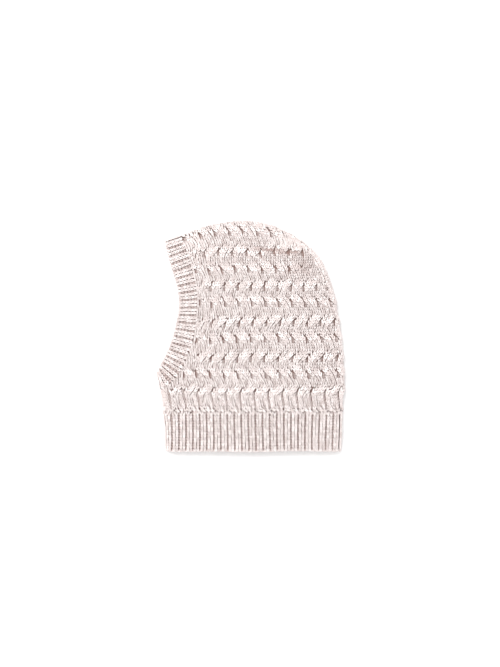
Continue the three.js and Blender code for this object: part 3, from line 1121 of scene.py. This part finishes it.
def yarn_material(name):
    """Twisted yarn: its tone differs from stitch to stitch, and painted shade darkens it toward its
    underside and where its neighbours shade it.
    """
    mat, tree, shader = new_material(name, 0.9, 0.2)
    shader.inputs["Sheen Weight"].default_value = 0.25
    shader.inputs["Sheen Roughness"].default_value = 0.5
    along, shade_share, tone = attribute_parts(tree, "yarn")
    # Painted shade: the colour is mixed toward the shade colour by each vertex's painted shade share
    deep = tree.nodes.new("ShaderNodeMix")
    deep.data_type = "RGBA"
    deep.inputs["B"].default_value = (*PAINTED_SHADE_COLOUR, 1)
    tree.links.new(shade_share, deep.inputs["Factor"])
    tree.links.new(ramp(tree, tone, DARK_YARN, LIGHT_YARN), deep.inputs["A"])
    tree.links.new(deep.outputs["Result"], shader.inputs["Base Color"])
    fibre = noise(tree, 2200, 3)
    cosine, sine, _ = attribute_parts(tree, "ply")
    turns = math_node(tree, "MULTIPLY", math_node(tree, "ARCTAN2", sine, cosine), PLIES)
    twist = math_node(tree, "MULTIPLY", along, PLIES * 2 * math.pi / TWIST)
    half_turn = math_node(tree, "MULTIPLY", math_node(tree, "ADD", turns, twist), 0.5)
    plies = math_node(tree, "ABSOLUTE", math_node(tree, "COSINE", half_turn))
    height = math_node(tree, "ADD", math_node(tree, "MULTIPLY", fibre, 0.6), plies)
    add_bump(tree, shader, height, 0.3 * MM, 0.6)
    return mat


def painted_shade_under_knit_material():
    """Painted shade: the yarn that shows between the stitches, coloured darker for the shade it lies
    in.
    """
    mat, tree, shader = new_material("painted_shade_under_knit", 0.95, 0.1)
    colour = ramp(tree, noise(tree, 700), (0.23, 0.15, 0.13), (0.36, 0.25, 0.22))
    tree.links.new(colour, shader.inputs["Base Color"])
    return mat


def purl_side_material():
    """The back of the knit, with its rows of purl bumps, as it shows deep inside the mouths: the yarn's
    colour on the bumps and painted shade between them.
    """
    mat, tree, shader = new_material("purl_side", 0.9, 0.2)
    x, y, _ = split_parts(tree, own_place(tree))
    wales = math_node(tree, "MULTIPLY", x, 2 * math.pi / (UNIT / WALES * MM))
    rows = math_node(tree, "MULTIPLY", y, 2 * math.pi / (ROW * MM))
    bumps = math_node(tree, "SINE", math_node(tree, "ADD", rows, math_node(tree, "COSINE", wales)))
    factor = math_node(tree, "ADD", math_node(tree, "MULTIPLY", bumps, 0.5), 0.5)
    # Painted shade: the colour is darker between the bumps
    colour = ramp(tree, factor, (0.42, 0.32, 0.29), (0.80, 0.72, 0.69))
    tree.links.new(colour, shader.inputs["Base Color"])
    add_bump(tree, shader, bumps, 0.6 * MM)
    return mat


def mesh_object(name, places, faces, node):
    """A piece from places in millimetres and triangles."""
    mesh = bpy.data.meshes.new(name)
    mesh.from_pydata((places * MM).tolist(), [], faces.tolist(), shade_flat=False)
    mesh.validate()
    piece = bpy.data.objects.new(name, mesh)
    scene.collection.objects.link(piece)
    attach(piece, "root")
    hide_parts(node)
    return piece


def stitch_object(name, parts, slot, node):
    """A piece of laid stitches, from lots of (stitches, template)."""
    places, faces, yarn = joined([lay(stitches, template) for stitches, template in parts])
    piece = mesh_object(name, places, faces, node)
    layer = piece.data.attributes.new("yarn", "FLOAT_VECTOR", "POINT")
    layer.data.foreach_set("vector", yarn[:, :3].astype(np.float32).ravel())
    ply = piece.data.attributes.new("ply", "FLOAT2", "POINT")
    ply.data.foreach_set("vector", yarn[:, 3:].astype(np.float32).ravel())
    piece.data.materials.append(mats[slot])
    return piece


# The body's knit on each layer is two pieces, which meet at this x
FRONT_PIECE_TO = 20

mats = {name: yarn_material(name) for name in ("cable_knit", "band_rib", "neck_rib")}
painted_shade_under_knit = painted_shade_under_knit_material()
purl_side = purl_side_material()

for region, slot, node in (
    ("body", "cable_knit", "hood_body"),
    ("rib", "neck_rib", "neck_rib"),
    ("band", "band_rib", "face_band"),
):
    places, faces, looks_in = core_mesh(region)
    core = mesh_object(f"{node}_core", places, faces, node)
    # The core's outside is painted shade; its inside shows the purl side
    core.data.materials.append(painted_shade_under_knit)
    core.data.materials.append(purl_side)
    core.data.polygons.foreach_set("material_index", looks_in.astype(np.int32))

for side, layer in ((1, "upper"), (-1, "lower")):
    body = loosen(body_knit(side))
    crown = loosen(crown_side_knit(side))
    front = body.sheet[:, 0] < FRONT_PIECE_TO
    back = copy.deepcopy(body).keep(~front)
    stitch_object(f"body_knit_{layer}_front", [(body.keep(front), KNIT)], "cable_knit", "hood_body")
    stitch_object(f"body_knit_{layer}_back", [(back, KNIT), (crown, KNIT)], "cable_knit", "hood_body")
    for name, slot, outside, edge, inside in (
        ("neck_rib", "neck_rib", rib_knit, hem_edge, rib_inside),
        ("face_band", "band_rib", band_knit, face_edge, band_inside),
    ):
        knit, bumps = outside(side)
        stitch_object(f"{name}_{layer}", [(loosen(knit), KNIT), (loosen(bumps), BUMP)], slot, name)
        knit, bumps = inside(side)
        links = loosen(edge(side), shift=0.05)
        lots = [(links, LINK), (loosen(knit), KNIT), (loosen(bumps), BUMP)]
        stitch_object(f"{name}_{layer}_edge", lots, slot, name)

# Stage, light and camera

FLOOR_HALF = 3.0
WORLD_STRENGTH = 1.12
KEY_PLACE = (-0.5, 0.7, 1.9)
KEY_SIZE = 1.0
KEY_POWER = 30
PHOTO_WIDTH = 520.0
PHOTO_HEIGHT = PHOTO_WIDTH * 667 / 500
PHOTO_CENTRE = (-0.6, 2.6)
MIDDLE_Z = 12.0
LENS = 100.0
SENSOR = 36.0

corners = [(-1, -1), (1, -1), (1, 1), (-1, 1)]
floor_mesh = bpy.data.meshes.new("floor")
floor_mesh.from_pydata([(x * FLOOR_HALF, y * FLOOR_HALF, 0) for x, y in corners], [], [(0, 1, 2, 3)])
floor = bpy.data.objects.new("floor", floor_mesh)
scene.collection.objects.link(floor)
floor_mat, _, floor_shader = new_material("floor", 0.9, 0.5)
floor_shader.inputs["Base Color"].default_value = (0.93, 0.93, 0.93, 1)
floor_mesh.materials.append(floor_mat)

world = bpy.data.worlds.new("studio")
world.use_nodes = True
background = world.node_tree.nodes["Background"].inputs
background["Color"].default_value = (1, 1, 1, 1)
background["Strength"].default_value = WORLD_STRENGTH
scene.world = world

key_data = bpy.data.lights.new("key", "AREA")
key_data.size = KEY_SIZE
key_data.energy = KEY_POWER
key = bpy.data.objects.new("key", key_data)
key.location = KEY_PLACE
key.rotation_euler = (-key.location).to_track_quat("-Z", "Y").to_euler()
scene.collection.objects.link(key)

camera_data = bpy.data.cameras.new("camera")
camera_data.lens = LENS
camera_data.sensor_width = SENSOR
camera = bpy.data.objects.new("camera", camera_data)
distance = PHOTO_HEIGHT / SENSOR * LENS
camera.location = (PHOTO_CENTRE[0] * MM, PHOTO_CENTRE[1] * MM, (distance + MIDDLE_Z) * MM)
scene.collection.objects.link(camera)
scene.camera = camera
scene.view_settings.view_transform = "Standard"
